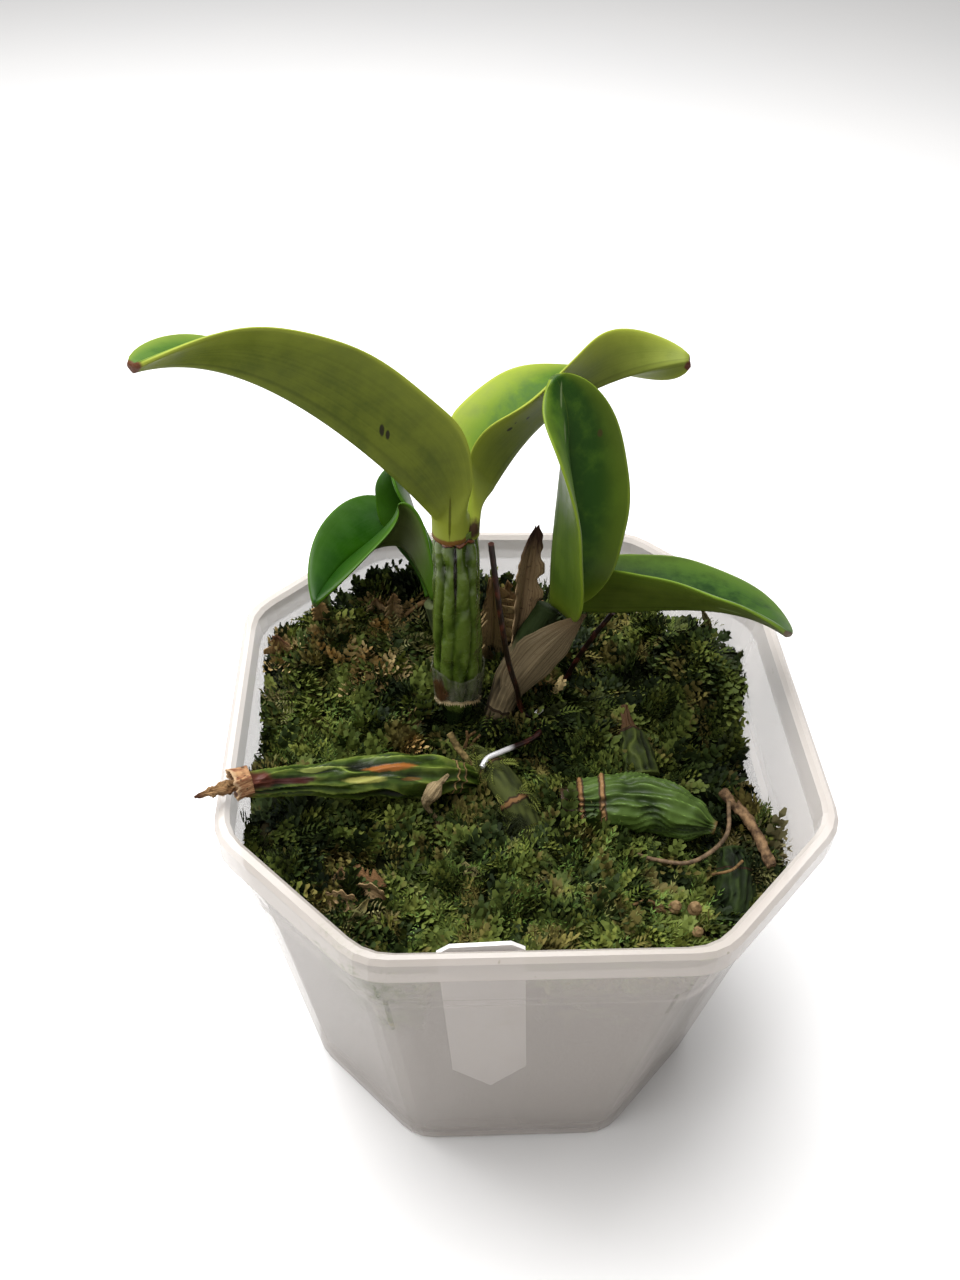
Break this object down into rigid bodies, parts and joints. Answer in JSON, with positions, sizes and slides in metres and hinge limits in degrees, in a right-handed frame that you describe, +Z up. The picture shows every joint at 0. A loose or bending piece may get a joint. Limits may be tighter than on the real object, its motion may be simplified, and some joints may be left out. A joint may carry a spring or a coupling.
{
  "type": "potted orchid seedling",
  "caption": "Young cattleya orchid with folded leaves and wrinkled pseudobulbs, rooted in moss in a clear eight-sided plastic pot.",
  "frame": {"origin": "centre of the pot's flat underside", "axes": "+Z up; -Y out of the pot's front side, where the label stands; +X to the right seen from the front"},
  "size_m": [0.1032, 0.0996, 0.1561],
  "materials": {
    "pot_plastic": "milky clear moulded plastic",
    "moss": "damp moss",
    "label_plastic": "smooth bare plastic",
    "leaf": "waxy green leaf",
    "pseudobulb": "glossy wrinkled green skin",
    "stem": "dull olive skin",
    "dry_sheath": "dry papery sheath",
    "dry_scrap": "dry brown plant scrap",
    "dry_wood": "dry bark",
    "wire": "dark coated wire"
  },
  "bodies": {
    "root": {"pot": "pot_plastic", "moss": "moss", "plant_label": "label_plastic", "rhizome": "stem", "pseudobulb_main": "pseudobulb", "sheath_main": "dry_sheath", "leaf_main_left": "leaf", "leaf_main_right": "leaf", "pseudobulb_left_lying": "pseudobulb", "dried_bud": "dry_wood", "pseudobulb_right_lying": "pseudobulb", "pseudobulb_front_buried": "pseudobulb", "pseudobulb_back_small": "pseudobulb", "stem_right_growth": "stem", "leaf_right_upright": "leaf", "leaf_right_low": "leaf", "sheath_spike": "dry_sheath", "sheath_fan": "dry_sheath", "stem_left_growth": "stem", "leaf_left_low": "leaf", "leaf_left_up": "leaf", "wire_pin_left": "wire", "wire_pin_lower": "wire", "wire_pin_right": "wire", "twig": "dry_wood", "root_curved": "dry_wood", "root_dry_stub": "dry_wood", "scrap_tall": "dry_scrap", "scrap_back": "dry_scrap", "scrap_serrated": "dry_scrap", "scrap_front": "dry_scrap"}
  },
  "joints": []
}
